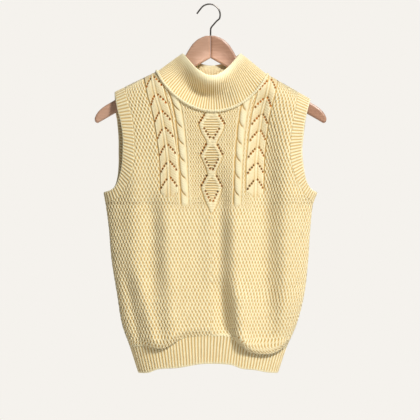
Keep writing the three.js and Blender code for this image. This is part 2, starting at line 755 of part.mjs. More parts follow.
const vest = new THREE.Group();
vest.add(
  panelMesh('front', 'front', frontColumn, frontPlaces(), frontRows.body, frontRows.yoke, yokeRelief, 4),
  panelMesh('back', 'back', backColumn, backPlaces(), backGrid.body, backGrid.yoke, plain, 3),
  collarMesh(),
  armbandMesh('armband_left', 'left'),
  armbandMesh('armband_right', 'right'),
  hemMesh('hem_front', 'front'),
  hemMesh('hem_back', 'back'),
  hangerHalf('hanger_left', -1, 0xb98a6e),
  hangerHalf('hanger_right', 1, 0xae7c60),
  hookMesh(),
);

export default vest;
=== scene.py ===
# A knitted sweater vest on a wooden hanger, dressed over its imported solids.
# Shapes are worked out in millimetres, with the front facing -Y, and put into meshes in metres.

import bpy
import numpy as np
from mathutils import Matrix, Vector


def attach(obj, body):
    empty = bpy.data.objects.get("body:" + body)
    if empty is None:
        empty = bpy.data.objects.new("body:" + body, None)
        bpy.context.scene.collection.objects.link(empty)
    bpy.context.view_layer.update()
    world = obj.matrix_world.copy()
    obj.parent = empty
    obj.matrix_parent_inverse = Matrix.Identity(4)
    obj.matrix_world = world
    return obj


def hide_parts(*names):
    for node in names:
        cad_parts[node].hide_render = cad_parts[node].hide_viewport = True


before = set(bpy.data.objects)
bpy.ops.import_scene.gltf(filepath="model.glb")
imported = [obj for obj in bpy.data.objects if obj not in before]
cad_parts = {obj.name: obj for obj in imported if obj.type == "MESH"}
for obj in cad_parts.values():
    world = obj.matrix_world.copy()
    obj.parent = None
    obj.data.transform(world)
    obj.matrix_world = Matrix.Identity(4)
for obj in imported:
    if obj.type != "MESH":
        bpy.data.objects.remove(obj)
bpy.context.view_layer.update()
metre = 0.001  # a millimetre in metres


# The vest's cut, in the same sizes as the solids. Each table has named columns.

outline = {
    "z": [-698, -650, -606, -546, -485, -424, -377, -357, -310, -240, -100],
    "left": [-137.2, -152.6, -168, -177.8, -187.7, -193, -199.3, -202.9, -211, -221, -228],
    "right": [128, 144.2, 163.2, 178.2, 185, 189.2, 194.6, 202.5, 210, 220, 228],
}
depth = {
    "z": [-650, -560, -420, -300, -200, -100],
    "front": [40, 42, 41, 39, 36, 33],
    "back": [34, 36, 33, 30, 28, 27],
}
body = {
    "roundness": 2.6,        # exponent of the section, 2 is an ellipse
    "shoulderRound": 35,     # height over which the cloth turns over the shoulder
    "shoulderLeft": (-78.5, 0.48),   # height at the middle, fall for each millimetre outwards
    "shoulderRight": (-73, 0.56),
    "underarm": -377,
    "backBulgeLeft": 9,      # how much further out the back's armhole reaches
    "backBulgeRight": 2,
}
armholeLeft = {
    "seamX": [-164.2, -155.6, -149.9, -145.5, -144.8, -147.6, -155.6, -168.7, -184.7, -199.3],
    "seamZ": [-157.3, -190.8, -212.6, -248.9, -278, -307, -336.1, -358, -371.1, -377],
    "edgeX": [-181.6, -175.9, -169.5, -165.4, -165.9, -168, -173.1, -181.8, -192.1, -202.9],
    "edgeZ": [-165.7, -198, -222.7, -253, -285.2, -307, -328.9, -347, -354, -357],
}
armholeRight = {
    "seamX": [166, 158.8, 155.5, 151.8, 150.2, 153.5, 160, 168.5, 180.5, 194.6],
    "seamZ": [-166, -206, -224, -252, -277, -308, -326, -343, -362, -377],
    "edgeX": [189, 181.3, 177.7, 174, 171.8, 174.6, 180.5, 185.4, 192.5, 202.5],
    "edgeZ": [-178.8, -206.2, -224, -251.2, -275.7, -304.2, -332.7, -343.5, -352.5, -357],
}
neck = {"middle": 3, "halfWidth": 103, "frontDrop": 73.5, "backDrop": 42, "curve": 1.6}
rim = {
    "middle": 2, "halfWidth": 56.5, "frontReach": 45, "backReach": 27,
    "sideHeight": -93, "frontDrop": 45, "backDrop": 23, "curve": 2.4,
}
hem = {"frontDepth": 34, "backDepth": 30, "tuck": 16}
hemTopLine = {
    "x": [-152.6, -124, -100, -80.6, -54, -30.4, 35, 59, 72, 109, 144.2],
    "z": [-650, -645.5, -648, -644.9, -631.8, -628.5, -629.7, -645.5, -652.5, -655.7, -650],
    "backX": [-152.6, -80, 0, 75, 144.2],
    "backZ": [-650, -637, -632, -637, -650],
}
hemBottomLine = {
    "x": [-137.2, -117.6, -100, -61, -15, 37.2, 59, 85.3, 107.2, 128],
    "z": [-698, -696.5, -690, -687, -679.5, -681, -688.5, -691.5, -696, -698],
    "backX": [-137.2, -75, 0, 70, 128],
    "backZ": [-698, -683, -677, -683, -698],
}

# Folds, each given as top x, top z, bottom x, bottom z, half width and depth, positive for a trough.
frontFolds = [
    (-146, -300, -148, -490, 17, -5),
    (-142, -500, -104, -650, 12, -6),
    (-111, -380, -107, -540, 16, 7),
    (-162, -515, -134, -645, 9, 6),
    (-85, -380, -74, -650, 17, -6),
    (-20, -300, -14, -600, 30, 8),
    (19, -340, 20, -520, 16, 10),
    (20, -530, 31, -655, 19, 16),
    (43, -400, 44, -520, 15, -7),
    (46, -530, 61, -655, 17, -13),
    (98, -210, 108, -600, 26, 18),
    (146, -250, 142, -620, 24, -12),
]
backFolds = [
    (-88, -380, -80, -590, 12, 6),
    (4, -420, -8, -610, 14, 4),
    (95, -370, 82, -600, 12, 6),
]

# Stitch lines of the yoke: distances of the cable's and the leaf's middle from the centre line.
# leafRight is how much further out the right leaf column lies.
stitchLines = {
    "z": [-640, -450, -375, -330, -298, -267, -235, -203, -171, -139],
    "cable": [45, 49, 49.6, 51.2, 52.6, 54.6, 57.8, 62.5, 70.5, 82],
    "leaf": [76, 80.8, 79.8, 80.4, 81.4, 85, 89.9, 95.8, 104.9, 111.4],
    "leafRight": [3, 3.4, 3.6, 3.6, 3.4, 2.6, 1.2, 0.5, 0, 0],
}
centreLine = 0.8


# How finely the panels are worked out, and how near their sides the stitches flatten.
knitting = {"samplesAcross": 901, "turns": 14, "sideFade": 4}


# Smooth cubic through a table, with the mean slope of its neighbours at each point.
def curveThrough(keys, values):
    order = np.argsort(keys)
    k = np.asarray(keys, float)[order]
    v = np.asarray(values, float)[order]
    before = np.maximum(np.arange(len(k)) - 1, 0)
    after = np.minimum(np.arange(len(k)) + 1, len(k) - 1)
    slope = (v[after] - v[before]) / (k[after] - k[before])

    def at(place):
        p = np.clip(place, k[0], k[-1])
        i = np.clip(np.searchsorted(k, p, side="right") - 1, 0, len(k) - 2)
        span = k[i + 1] - k[i]
        t = (p - k[i]) / span
        ease = t * t * (3 - 2 * t)
        bend = t * (1 - t) * span * ((1 - t) * slope[i] - t * slope[i + 1])
        return v[i] + (v[i + 1] - v[i]) * ease + bend
    return at


# Ease from 0 to 1: three times t squared less twice t cubed, with t held between 0 and 1.
def smooth(t):
    t = np.clip(t, 0, 1)
    return t * t * (3 - 2 * t)


leftAt = curveThrough(outline["z"], outline["left"])
rightAt = curveThrough(outline["z"], outline["right"])
depthAt = {face: curveThrough(depth["z"], depth[face]) for face in ("front", "back")}
hemTop = {
    "front": curveThrough(hemTopLine["x"], hemTopLine["z"]),
    "back": curveThrough(hemTopLine["backX"], hemTopLine["backZ"]),
}
hemBottom = {
    "front": curveThrough(hemBottomLine["x"], hemBottomLine["z"]),
    "back": curveThrough(hemBottomLine["backX"], hemBottomLine["backZ"]),
}
cableAt = curveThrough(stitchLines["z"], stitchLines["cable"])
leafMiddle = curveThrough(stitchLines["z"], stitchLines["leaf"])
leafRight = curveThrough(stitchLines["z"], stitchLines["leafRight"])
outward = {"front": -1.0, "back": 1.0}


# Height of the shoulder: a straight fall outwards from its height at the middle, steeper on the right.
def ridgeHeight(x):
    leftTop, leftFall = body["shoulderLeft"]
    rightTop, rightFall = body["shoulderRight"]
    return np.where(x < 0, leftTop + leftFall * x, rightTop - rightFall * x)


# Height of the neck seam: the shoulder's height less a drop that grows towards the middle.
def neckHeight(x, face):
    across = (x - neck["middle"]) / neck["halfWidth"]
    leftEnd = ridgeHeight(np.array(neck["middle"] - neck["halfWidth"], float))
    rightEnd = ridgeHeight(np.array(neck["middle"] + neck["halfWidth"], float))
    sides = leftEnd + (rightEnd - leftEnd) * (across + 1) / 2
    return sides - neck[face + "Drop"] * np.maximum(1 - across ** 2, 0) ** (neck["curve"] / 2)


# Top edge of a panel: the lower of neck seam and shoulder within the neck, the shoulder beyond it.
def topHeight(x, face):
    within = np.abs(x - neck["middle"]) < neck["halfWidth"]
    return np.where(within, np.minimum(neckHeight(x, face), ridgeHeight(x)), ridgeHeight(x))


# Sum of soft troughs and ridges: a bell across each line, faded at both of its ends.
def foldDepth(folds, x, z):
    total = np.zeros(np.broadcast(x, z).shape)
    for topX, topZ, bottomX, bottomZ, width, amount in folds:
        t = (topZ - z) / (topZ - bottomZ)
        line = topX + (bottomX - topX) * np.clip(t, 0, 1)
        fade = smooth((t + 0.25) / 0.45) * smooth((1.2 - t) / 0.35)
        total = total + amount * fade * np.exp(-((x - line) / width) ** 2)
    return total


# How far the cloth's outer face stands out from the middle plane: a superellipse across,
# a quarter ellipse over the shoulder, and a tuck above the hem.
def bodyReach(x, z, face):
    left, right = leftAt(z), rightAt(z)
    across = np.minimum(np.abs((x - (left + right) / 2) / ((right - left) / 2)), 1)
    section = np.sqrt(1 - across ** body["roundness"])
    fall = np.clip((ridgeHeight(x) - z) / body["shoulderRound"], 0, 1)
    overShoulder = np.sqrt(1 - (1 - fall) ** 2)
    aboveHem = smooth((z - hemTop[face](x)) / hem["tuck"])
    hemDepth = hem[face + "Depth"]
    reach = hemDepth + (depthAt[face](z) - hemDepth) * aboveHem
    folds = frontFolds if face == "front" else backFolds
    return section * overShoulder * (reach - foldDepth(folds, x, z) * aboveHem)


# Point of the body's outer face: x and z as given, and y the reach towards that face's own side.
def bodyPoint(x, z, face):
    return np.stack([x, outward[face] * bodyReach(x, z, face), z], axis=-1)


# Armhole seam or open edge as x over z, with its top and bottom. The back's curve swells outwards
# by half a sine wave between them.
def armholeCurve(side, kind, face):
    table = armholeLeft if side == "left" else armholeRight
    curve = curveThrough(table[kind + "Z"], table[kind + "X"])
    top, bottom = table[kind + "Z"][0], table[kind + "Z"][-1]
    sign = -1 if side == "left" else 1
    bulge = sign * body["backBulge" + side.capitalize()] if face == "back" else 0

    def at(z):
        return curve(z) + bulge * np.sin(np.pi * np.clip((z - bottom) / (top - bottom), 0, 1))
    return at, top, bottom


# Length along each row (axis 1) or column (axis 0) of a grid of points.
def lengthAlong(grid, axis):
    step = np.linalg.norm(np.diff(grid, axis=axis), axis=-1)
    pad = [(0, 0), (0, 0)]
    pad[axis] = (1, 0)
    return np.cumsum(np.pad(step, pad), axis=axis)


# Grid with its points spaced evenly along every row or every column.
def evenly(grid, count, axis):
    lines = grid if axis == 1 else grid.transpose(1, 0, 2)
    lengths = lengthAlong(lines, 1)
    made = np.empty((lines.shape[0], count, 3))
    for i, (line, length) in enumerate(zip(lines, lengths)):
        stops = np.linspace(0, length[-1], count)
        for axisIndex in range(3):
            made[i, :, axisIndex] = np.interp(stops, length, line[:, axisIndex])
    return made if axis == 1 else made.transpose(1, 0, 2)


# Lengths along the cloth straight across and straight up, whatever way the grid's lines lean:
# the surface's slopes are solved from both grid directions, and each step counts by its slope.
def levelLengths(grid):
    along, up = np.gradient(grid, axis=1), np.gradient(grid, axis=0)
    det = along[..., 0] * up[..., 2] - along[..., 2] * up[..., 0]
    slopeX = (along[..., 1] * up[..., 2] - along[..., 2] * up[..., 1]) / det
    slopeZ = (along[..., 0] * up[..., 1] - up[..., 0] * along[..., 1]) / det
    stepX = np.diff(grid[..., 0], axis=1) * np.sqrt(1 + np.clip(slopeX[:, 1:], -2, 2) ** 2)
    stepZ = np.diff(grid[..., 2], axis=0) * np.sqrt(1 + np.clip(slopeZ[1:], -2, 2) ** 2)
    s = np.cumsum(np.pad(stepX, [(0, 0), (1, 0)]), axis=1)
    w = np.cumsum(np.pad(stepZ, [(1, 0), (0, 0)]), axis=0)
    return s, w


# Unit normals of a grid from the cross product of its two directions, turned to one side.
def gridNormals(grid, outwardAt, closed=False):
    if closed:
        wrapped = np.concatenate([grid[:, -1:], grid, grid[:, :1]], axis=1)
        across = wrapped[:, 2:] - wrapped[:, :-2]
    else:
        across = np.gradient(grid, axis=1)
    up = np.gradient(grid, axis=0)
    normal = np.cross(across, up)
    normal /= np.maximum(np.linalg.norm(normal, axis=-1, keepdims=True), 1e-9)
    return np.where((normal * outwardAt).sum(-1, keepdims=True) < 0, -normal, normal)


# Places from 0 to 1 that crowd towards both ends: half of 1 less the cosine.
def crowdedEnds(count):
    return (1 - np.cos(np.linspace(0, np.pi, count))) / 2


# Panel grid between two heights, from side to side: rows blend from the lower line to the upper one.
# The sides depend on the height and the height on x, so both are worked out in turns.
def panelGrid(face, lower, upper, rows, columns):
    across = crowdedEnds(knitting["samplesAcross"])
    down = crowdedEnds(rows * 2)
    leftSeam, _, _ = armholeCurve("left", "seam", face)
    rightSeam, _, _ = armholeCurve("right", "seam", face)

    def border(z, side):
        seam = leftSeam if side == "left" else rightSeam
        edge = leftAt if side == "left" else rightAt
        return np.where(z > body["underarm"], seam(z), edge(z))

    x = np.broadcast_to(-150 + 300 * across, (len(down), len(across)))  # a first guess of the width
    for _ in range(knitting["turns"]):
        low, high = lower(x), upper(x)
        z = low + (high - low) * down[:, None]
        x = border(z, "left") + (border(z, "right") - border(z, "left")) * across
    grid = evenly(bodyPoint(x, z, face), columns, 1)
    return evenly(grid, rows, 0)


# Irregular hand of the knitting: slow waves that shift the stitches a little.
def drift(a, b, size, seed):
    phases = np.random.default_rng(seed).uniform(0, 2 * np.pi, (5, 2))
    total = 0
    for i, (p, q) in enumerate(phases):
        pitch = size * (0.6 + 0.35 * i)
        total = total + np.sin(2 * np.pi * a / pitch + p) * np.sin(2 * np.pi * b / (pitch * 1.3) + q)
    return total / 2.5


# Stitch patterns. Each gives a height in millimetres and a painted shade, from 0 on raised yarn to 1 in a
# hollow, that darkens the yarn where shade falls among the stitches.

lattice = {"width": 6.4, "height": 13.2, "relief": 2.0, "lean": 0.57}
# Moss: its painted shade is a base plus a share of its pits' own, and its upright ribs add a little.
moss = {
    "width": 4.9, "height": 8.6, "relief": 1.5, "lean": 0.52,
    "ribRelief": 0.4, "ribShade": 0.12, "shade": (0.1, 0.85),
    "end": -392, "endWander": 6, "endBlend": 12,       # where it gives way to the lattice below
    "sideRoom": 10, "sideBlend": 6,                    # and beside the leaf columns
}
cable = {
    "halfWidth": 7, "relief": 2.8, "pitch": 32.3, "start": -199, "end": -384, "slant": 0.2, "edge": 7.9,
    "lineDepth": 1.7, "lineWidth": 1.5, "sunk": 0.9, "scallop": 0.22,
    "wallAt": 2.4, "wallWidth": 1.2, "wallRise": 0.9,
    "leftGroove": (-1.6, 1.2), "rightGroove": (-0.9, 0.9),   # depth and width
    "stitch": 0.14, "stitchPitch": 4.6,
}
leaf = {
    "ribInwards": -0.2, "inner": 18.2, "outer": 15.2, "relief": 1.7, "end": -364,
    "lobe": 32, "seamWidth": 1.3, "ribWidth": 1.5, "ribRise": 0.8, "besideAt": 3, "besideWidth": 1.1,
    "borderAt": 1.7, "borderWidth": 1.2, "borderRise": 0.5,
    "grooveAt": 0.8, "grooveWidth": 1.0, "grooveDepth": -1.1,
    "stitch": 0.16, "stitchPitch": 4.9,
    "left": [-138.6, -172, -203.6, -235.5, -267.2, -298.9, -329.3],
    "right": [-146.4, -180.2, -212, -243, -274.6, -305, -335.4],
    "innerLeg": ([4.6, 7.8, 11.6, 15], [0, 4.3, 8.6, 14.6]),
    "outerLeg": ([-3.6, -7.2, -10.4, -13.4], [3.2, 8, 13, 18.2]),
    "outerRise": {-1: 0, 1: 6},   # how much higher the outer line of eyelets starts on each side
}
diamond = {
    "middle": 1.9, "garter": 4.8, "garterAt": -226.5, "relief": 1.5, "end": -398,
    "purl": 0.25, "purlPitch": 4.9, "grooveAt": 1.4, "grooveWidth": 1.1, "grooveDepth": -1.0,
    "edge": ([-400, -394, -385, -367, -346, -324, -312, -287, -266, -259, -244, -227, -211, -204],
             [0, 2, 6, 13.4, 19.8, 6.8, 9.4, 20.5, 8.4, 9.6, 18.6, 24, 13, 10]),
    "core": ([-374, -371, -354, -346, -331, -327, -314, -311, -294, -286, -270, -266, -256, -252, -236,
              -227, -216, -213],
             [-2, 1.5, 9.8, 14, 5, -2, -2, 1.5, 10.5, 14.5, 5, -2, -2, 2.5, 12.3, 17, 9, -2]),
    # eyelets of each diamond: heights and half widths of the upper pair of lines, then the lower
    "eyelets": [
        ((-211, -225), (14.5, 23.7), (-235.5, -252.5), (14, 3.6)),
        ((-266, -283), (11.2, 20.2), (-293.5, -311.5), (12, 2.8)),
        ((-325, -343.3), (10, 19.3), (-354, -371.5), (11.2, 3)),
    ],
}
eyelet = {"radius": 1.15, "reach": 2.7, "height": 1.15, "depth": 1.3, "open": 1.1, "fromSeam": 3.5}
# the hand of the knitting: sizes of its slow waves, how far they shift a stitch, and their seeds
hand = {
    "across": (70, 0.5), "up": (55, 0.6), "fine": 30,
    "seeds": {"across": 3, "up": 4, "moss": 5, "mossEnd": 9, "backAcross": 13, "backUp": 14},
}


# Pits in staggered rows with rounded knots between; one diagonal is the stronger. Painted shade darkens the
# pits.
def pitted(s, w, kind):
    a = 2 * np.pi * s / kind["width"]
    b = 2 * np.pi * w / kind["height"]
    wave = kind["lean"] * np.cos(a + b) + (1 - kind["lean"]) * np.cos(a - b)
    pit = np.clip((wave + 0.45) / 1.45, 0, 1)
    return kind["relief"] * (0.6 - pit ** 1.2), smooth(pit * 1.1)


# One twisted rope: a half round across, plump ovals up it as the root of a sine, and S-shaped lines
# between them from upper left to lower right, where the rope's edge also draws in. The lines and the
# hollows between the ovals fade out towards the right, the side the light comes from.
def cableRelief(a, z):
    t = np.clip(a / cable["halfWidth"], -1, 1)
    place = ((z - cable["start"]) / cable["pitch"] + cable["slant"] * t + 0.22 * t ** 3) % 1
    fade = smooth((0.85 - t) / 1.1)
    line = np.exp(-((np.minimum(place, 1 - place) * cable["pitch"] / cable["lineWidth"]) ** 2)) * fade
    plump = np.sin(np.pi * place) ** 0.5
    rope = np.sqrt(1 - t ** 2) * (1 - 0.6 * fade * (1 - plump))
    return rope, line, 1 - cable["scallop"] * fade * (1 - plump)


# Half width of the diamond chain at a height, straight between the table's rows.
def diamondHalf(z):
    return np.interp(z, *diamond["edge"])


# Distance of a leaf column's middle from the centre line, on the left (-1) or the right (1).
def leafAt(z, side):
    return leafMiddle(z) + np.where(side > 0, leafRight(z), 0)


# Inward distance from a leaf column's middle rib: the rib's own distance less the point's.
def leafInwards(far, z, side):
    return leafAt(z, side) - leaf["ribInwards"] - far


# How far below its apex a chevron's line runs, by inward distance from the rib: straight between
# the two tables' rows, less the right column's rise on its outer side.
def chevronFall(u, side):
    innerAt, innerFall = leaf["innerLeg"]
    outerAt, outerFall = leaf["outerLeg"]
    places = [-24, *outerAt[::-1], 0, *innerAt, 22]
    fall = np.interp(u, places, [32, *outerFall[::-1], -1.5, *innerFall, 30])
    return fall - np.where(side > 0, leaf["outerRise"][1], 0) * smooth(-u / 3)


# Middle of every eyelet: a chevron's lie at its table's falls below the apex, and a diamond's lines
# run straight between their ends. Those too near the neck seam are dropped.
def eyeletPlaces():
    places = []
    legs = ("innerLeg", "outerLeg")
    for side, apexes in ((-1, leaf["left"]), (1, leaf["right"])):
        for apex in apexes:
            for leg in legs:
                rise = leaf["outerRise"][side] if leg == "outerLeg" else 0
                for u, fall in zip(*leaf[leg]):
                    z = apex - fall + rise
                    places.append((centreLine + side * (leafAt(z, side) - leaf["ribInwards"] - u), z))
    for upperZ, upperHalf, lowerZ, lowerHalf in diamond["eyelets"]:
        for (zTop, zBottom), (halfTop, halfBottom) in ((upperZ, upperHalf), (lowerZ, lowerHalf)):
            for share in (0, 1 / 3, 2 / 3, 1):
                z = zTop + (zBottom - zTop) * share
                half = halfTop + (halfBottom - halfTop) * share
                places += [(diamond["middle"] - half, z), (diamond["middle"] + half, z - 1)]
    below = eyelet["fromSeam"]
    return [(float(x), float(z)) for x, z in places if z < topHeight(np.array(x), "front") - below]


# Bell of height 1 around a place: e to the power of minus the squared distance over the width.
def bell(distance, width):
    return np.exp(-((distance / width) ** 2))


# Shifts of a panel's stitches across and up.
def handShift(s, w, acrossSeed, upSeed):
    (acrossSize, acrossShare), (upSize, upShare) = hand["across"], hand["up"]
    seeds = hand["seeds"]
    return (drift(s, w, acrossSize, seeds[acrossSeed]) * acrossShare,
            upShare * drift(s, w, upSize, seeds[upSeed]))


# Height and painted shade of the front: motifs of the yoke laid over the pitted ground, each by a
# share that goes from 0 to 1 over its edge. Their forms are bells, sines and the two stitch patterns.
def frontStitches(x, z, s, w):
    side = np.sign(x - centreLine)
    far = np.abs(x - centreLine)
    leafLine, cableLine = leafAt(z, side), cableAt(z)
    bend, lift = handShift(s, w, "across", "up")
    height, shade = pitted(s - side * leafLine + bend, w + lift, lattice)

    def lay(newHeight, newShade, share):
        nonlocal height, shade
        height = height + (newHeight - height) * share
        shade = shade + (newShade - shade) * share

    # finer moss with upright ribs inside the leaf columns; painted shade darkens its pits and the sunken
    # lines between its ribs
    seeds, fineSize = hand["seeds"], hand["fine"]
    mossHeight, mossShade = pitted(s + bend, w + drift(s, w, fineSize, seeds["moss"]), moss)
    upright = np.cos(2 * np.pi * (s + bend) / moss["width"])
    wander = moss["endWander"] * drift(s, w, fineSize, seeds["mossEnd"])
    aboveEnd = smooth((z - moss["end"] + wander) / moss["endBlend"])
    inYoke = aboveEnd * (1 - smooth((far - leafLine + moss["sideRoom"]) / moss["sideBlend"]))
    base, share = moss["shade"]
    lay(mossHeight - moss["ribRelief"] * upright,
        mossShade * share + base + moss["ribShade"] * upright, inYoke)

    # leaf columns: smooth lobes under each pair of eyelet lines, a middle rib and raised borders. Painted
    # shade darkens each lobe towards its lower end, the grooves beside the rib and the groove at the
    # column's edge; rib and borders are painted lighter.
    u = leafInwards(far, z, side)
    live = smooth((z - leaf["end"] + 5 * np.cos(u / 5)) / 5)
    fall = chevronFall(u, side)
    apexes = np.array([leaf["left"], leaf["right"]])[(side > 0).astype(int)]
    under = apexes - z[..., None] - fall[..., None]
    v = np.min(np.where(under >= 0, under, 99), axis=-1)
    nearest = np.abs(under).min(axis=-1)
    t = np.clip(v / leaf["lobe"], 0, 1)
    half = np.where(u > 0, np.abs(u) / leaf["inner"], np.abs(u) / leaf["outer"])
    plump = np.sin(np.pi * np.clip(0.08 + half * 0.9, 0, 1)) ** 0.8 * (1 - 0.75 * t) + 0.25
    seamLine = bell(nearest, leaf["seamWidth"])
    rib = bell(u, leaf["ribWidth"])
    beside = bell(np.abs(u) - leaf["besideAt"], leaf["besideWidth"])
    fine = leaf["stitch"] * np.cos(2 * np.pi * (w + 0.6 * np.abs(u)) / leaf["stitchPitch"])
    border = bell(u - leaf["inner"] + leaf["borderAt"], leaf["borderWidth"]) \
        + bell(u + leaf["outer"] - leaf["borderAt"], leaf["borderWidth"])
    within = np.minimum(leaf["inner"] - u, u + leaf["outer"])
    lobe = leaf["relief"] * (0.25 + plump - 0.3 * seamLine)
    lay(lobe + leaf["ribRise"] * rib - 0.5 * beside + leaf["borderRise"] * border + fine,
        np.clip(0.12 + 0.34 * t + 0.05 * seamLine + 0.4 * beside - 0.2 * rib - 0.2 * border, 0, 1),
        live * smooth((within + 1) / 1.6))
    lay(leaf["grooveDepth"], 0.95, live * bell(within + leaf["grooveAt"], leaf["grooveWidth"]))

    # cables between two grooves. Painted shade darkens each rope towards its edges and along its lines, and
    # the left groove, on the side away from the light, is deeper and more darkly painted than the right.
    b = x - (centreLine + side * cableLine)
    live = smooth((z - cable["end"]) / 8)
    rope, line, scallop = cableRelief(b, z)
    cableEdge = cable["edge"] * scallop
    fine = cable["stitch"] * np.cos(2 * np.pi * (w - 0.7 * np.abs(b)) / cable["stitchPitch"])
    lay(cable["relief"] * rope - cable["lineDepth"] * line - cable["sunk"] + fine,
        np.clip(0.55 - 0.5 * rope + 0.9 * line, 0, 1),
        live * smooth((cableEdge - np.abs(b)) / 1.2))
    wall = live * bell(np.abs(b) - cable["edge"] - cable["wallAt"], cable["wallWidth"])
    lay(cable["wallRise"], 0.08, wall * 0.8)
    grooveDepth, grooveWidth = cable["leftGroove"]
    lay(grooveDepth, 1.0, live * bell(b + cableEdge, grooveWidth))
    grooveDepth, grooveWidth = cable["rightGroove"]
    lay(grooveDepth, 0.7, 0.7 * live * bell(b - cableEdge, grooveWidth))

    # diamond chain with garter ridges in each diamond. Painted shade darkens the hollows between the ridges
    # and the groove outside the chain, whose left side, away from the light, is deeper and darker.
    c = x - diamond["middle"]
    edge = diamondHalf(z) - np.abs(c)
    live = smooth((z - diamond["end"]) / 5)
    core = smooth((np.interp(z, *diamond["core"]) - np.abs(c)) / 1.2)
    ridges = np.cos(2 * np.pi * (z - diamond["garterAt"]) / diamond["garter"])
    band = diamond["relief"] * (0.6 + 0.4 * np.sin(np.pi * np.clip(edge / 9, 0, 1)))
    purl = np.cos(2 * np.pi * w / diamond["purlPitch"])
    band = band + diamond["purl"] * purl
    lay(band * (1 - core) + core * (0.7 + 0.9 * ridges),
        0.2 - 0.12 * purl + core * (0.25 - 0.35 * ridges),
        live * smooth((edge + 0.8) / 1.6))
    outside = bell(edge + diamond["grooveAt"], diamond["grooveWidth"])
    lay(diamond["grooveDepth"], 0.95, live * outside * np.where(c < 0, 1, 0.6))
    return height, np.clip(shade, 0, 1)


# Height and painted shade of the back: the pitted ground alone.
def backStitches(x, z, s, w):
    bend, lift = handShift(s, w, "backAcross", "backUp")
    return pitted(s + bend, w + lift, lattice)


# Mesh from a grid: quads between neighbours, less those marked to be left out. It faces the way
# that outwardAt points along the first rows. A section that is a closed loop wraps its rows, and
# a strip of quads shuts each of its ends where the grid isn't closed all round.
def gridMesh(name, grid, shade, cloth, outwardAt, material,
             closed=False, section=False, leaveOut=None, normals=None):
    rows, columns = grid.shape[:2]
    index = np.arange(rows * columns).reshape(rows, columns)
    wrapped = np.concatenate([index, index[:1]]) if section else index
    right = np.roll(wrapped, -1, axis=1) if closed else wrapped[:, 1:]
    left = wrapped if closed else wrapped[:, :-1]
    quads = np.stack([left[:-1], right[:-1], right[1:], left[1:]], axis=-1)
    if leaveOut is not None:
        quads = quads[~leaveOut]
    quads = quads.reshape(-1, 4)
    if section and not closed:
        i = np.arange(rows // 2 - 1)
        ends = [np.stack([side[i], side[i + 1], side[rows - 2 - i], side[rows - 1 - i]], -1)
                for side in (index[:, 0], index[:, -1])]
        quads = np.concatenate([quads, ends[0], ends[1][:, ::-1]])
    first = min(len(outwardAt), rows - 1)
    facing = np.cross(np.diff(grid[:first], axis=1), np.diff(grid[:first + 1], axis=0)[:, :-1])
    if (facing * outwardAt[:first, :-1]).sum() < 0:
        quads = quads[:, ::-1]
    mesh = bpy.data.meshes.new(name)
    mesh.vertices.add(rows * columns)
    mesh.vertices.foreach_set("co", (grid * metre).astype(np.float32).ravel())
    mesh.loops.add(quads.size)
    mesh.loops.foreach_set("vertex_index", quads.astype(np.int32).ravel())
    mesh.polygons.add(len(quads))
    mesh.polygons.foreach_set("loop_start", np.arange(0, quads.size, 4, dtype=np.int32))
    mesh.polygons.foreach_set("use_smooth", np.ones(len(quads), dtype=bool))
    mesh.update(calc_edges=True)
    # painted shade of the hollows, as a point attribute that the yarn material reads
    shadeLayer = mesh.attributes.new("shade", "FLOAT", "POINT")
    shadeLayer.data.foreach_set("value", shade.astype(np.float32).ravel())
    uv = mesh.uv_layers.new(name="cloth")
    flat = (cloth.reshape(-1, 2) * 0.01).astype(np.float32)
    uv.data.foreach_set("uv", flat[quads.ravel()].ravel())
    if normals is not None:
        mesh.normals_split_custom_set_from_vertices(normals.reshape(-1, 3).tolist())
    piece = bpy.data.objects.new(name, mesh)
    bpy.context.collection.objects.link(piece)
    mesh.materials.append(material)
    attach(piece, "root")
    return piece


# Area of a grid before its stitches are raised, which is the cut of the piece: the sum of the
# lengths of its cells' cross products.
def gridArea(grid, closed=False):
    if closed:
        grid = np.concatenate([grid, grid[:, :1]], axis=1)
    across, up = np.diff(grid, axis=1), np.diff(grid, axis=0)
    return np.linalg.norm(np.cross(across[:-1], up[:, :-1]), axis=-1).sum()


# Prints a piece's cut: its flat size is the longest row by the longest column, and the share of that
# rectangle that its area fills.
def declareCloth(piece, grid, closed=False):
    around = np.concatenate([grid, grid[:, :1]], axis=1) if closed else grid
    width = lengthAlong(around, 1)[:, -1].max()
    length = lengthAlong(grid, 0)[-1].max()
    area = gridArea(grid, closed)
    share = area / (width * length)
    print(f"{piece.name}: cut {width:.0f} by {length:.0f} mm, {share:.2f} of that rectangle")


# Opens the eyelets: points near each one move out to its rim, and the cells inside are left out. A ring of
# painted shade darkens each rim into the brown of an eyelet's inside.
def openEyelets(grid, shade, x, z, normals):
    closeness = np.zeros(x.shape)
    inner = np.full(x.shape, np.inf)
    for ex, ez in eyeletPlaces():
        dx, dz = x - ex, (z - ez) / eyelet["height"]
        d = np.hypot(dx, dz)
        near = d < eyelet["reach"]
        if not near.any():
            continue
        dn = np.maximum(d[near], 1e-3)
        target = eyelet["radius"] + (1 - eyelet["radius"] / eyelet["reach"]) * dn
        grid[near, 0] += dx[near] / dn * (target - dn)
        grid[near, 2] += dz[near] / dn * (target - dn) * eyelet["height"]
        closeness[near] = np.maximum(closeness[near], 1 - dn / eyelet["reach"])
        inner[near] = np.minimum(inner[near], dn)
    grid -= normals * (eyelet["depth"] * smooth(closeness * 1.15) ** 2)[..., None]
    # painted shade round each eyelet, rising past 1 towards the eyelet's painted brown
    shade = np.maximum(shade, 2 * smooth((closeness - 0.25) / 0.4))
    corner = np.stack([inner[:-1, :-1], inner[:-1, 1:], inner[1:, 1:], inner[1:, :-1]])
    return shade, corner.max(axis=0) < eyelet["open"]


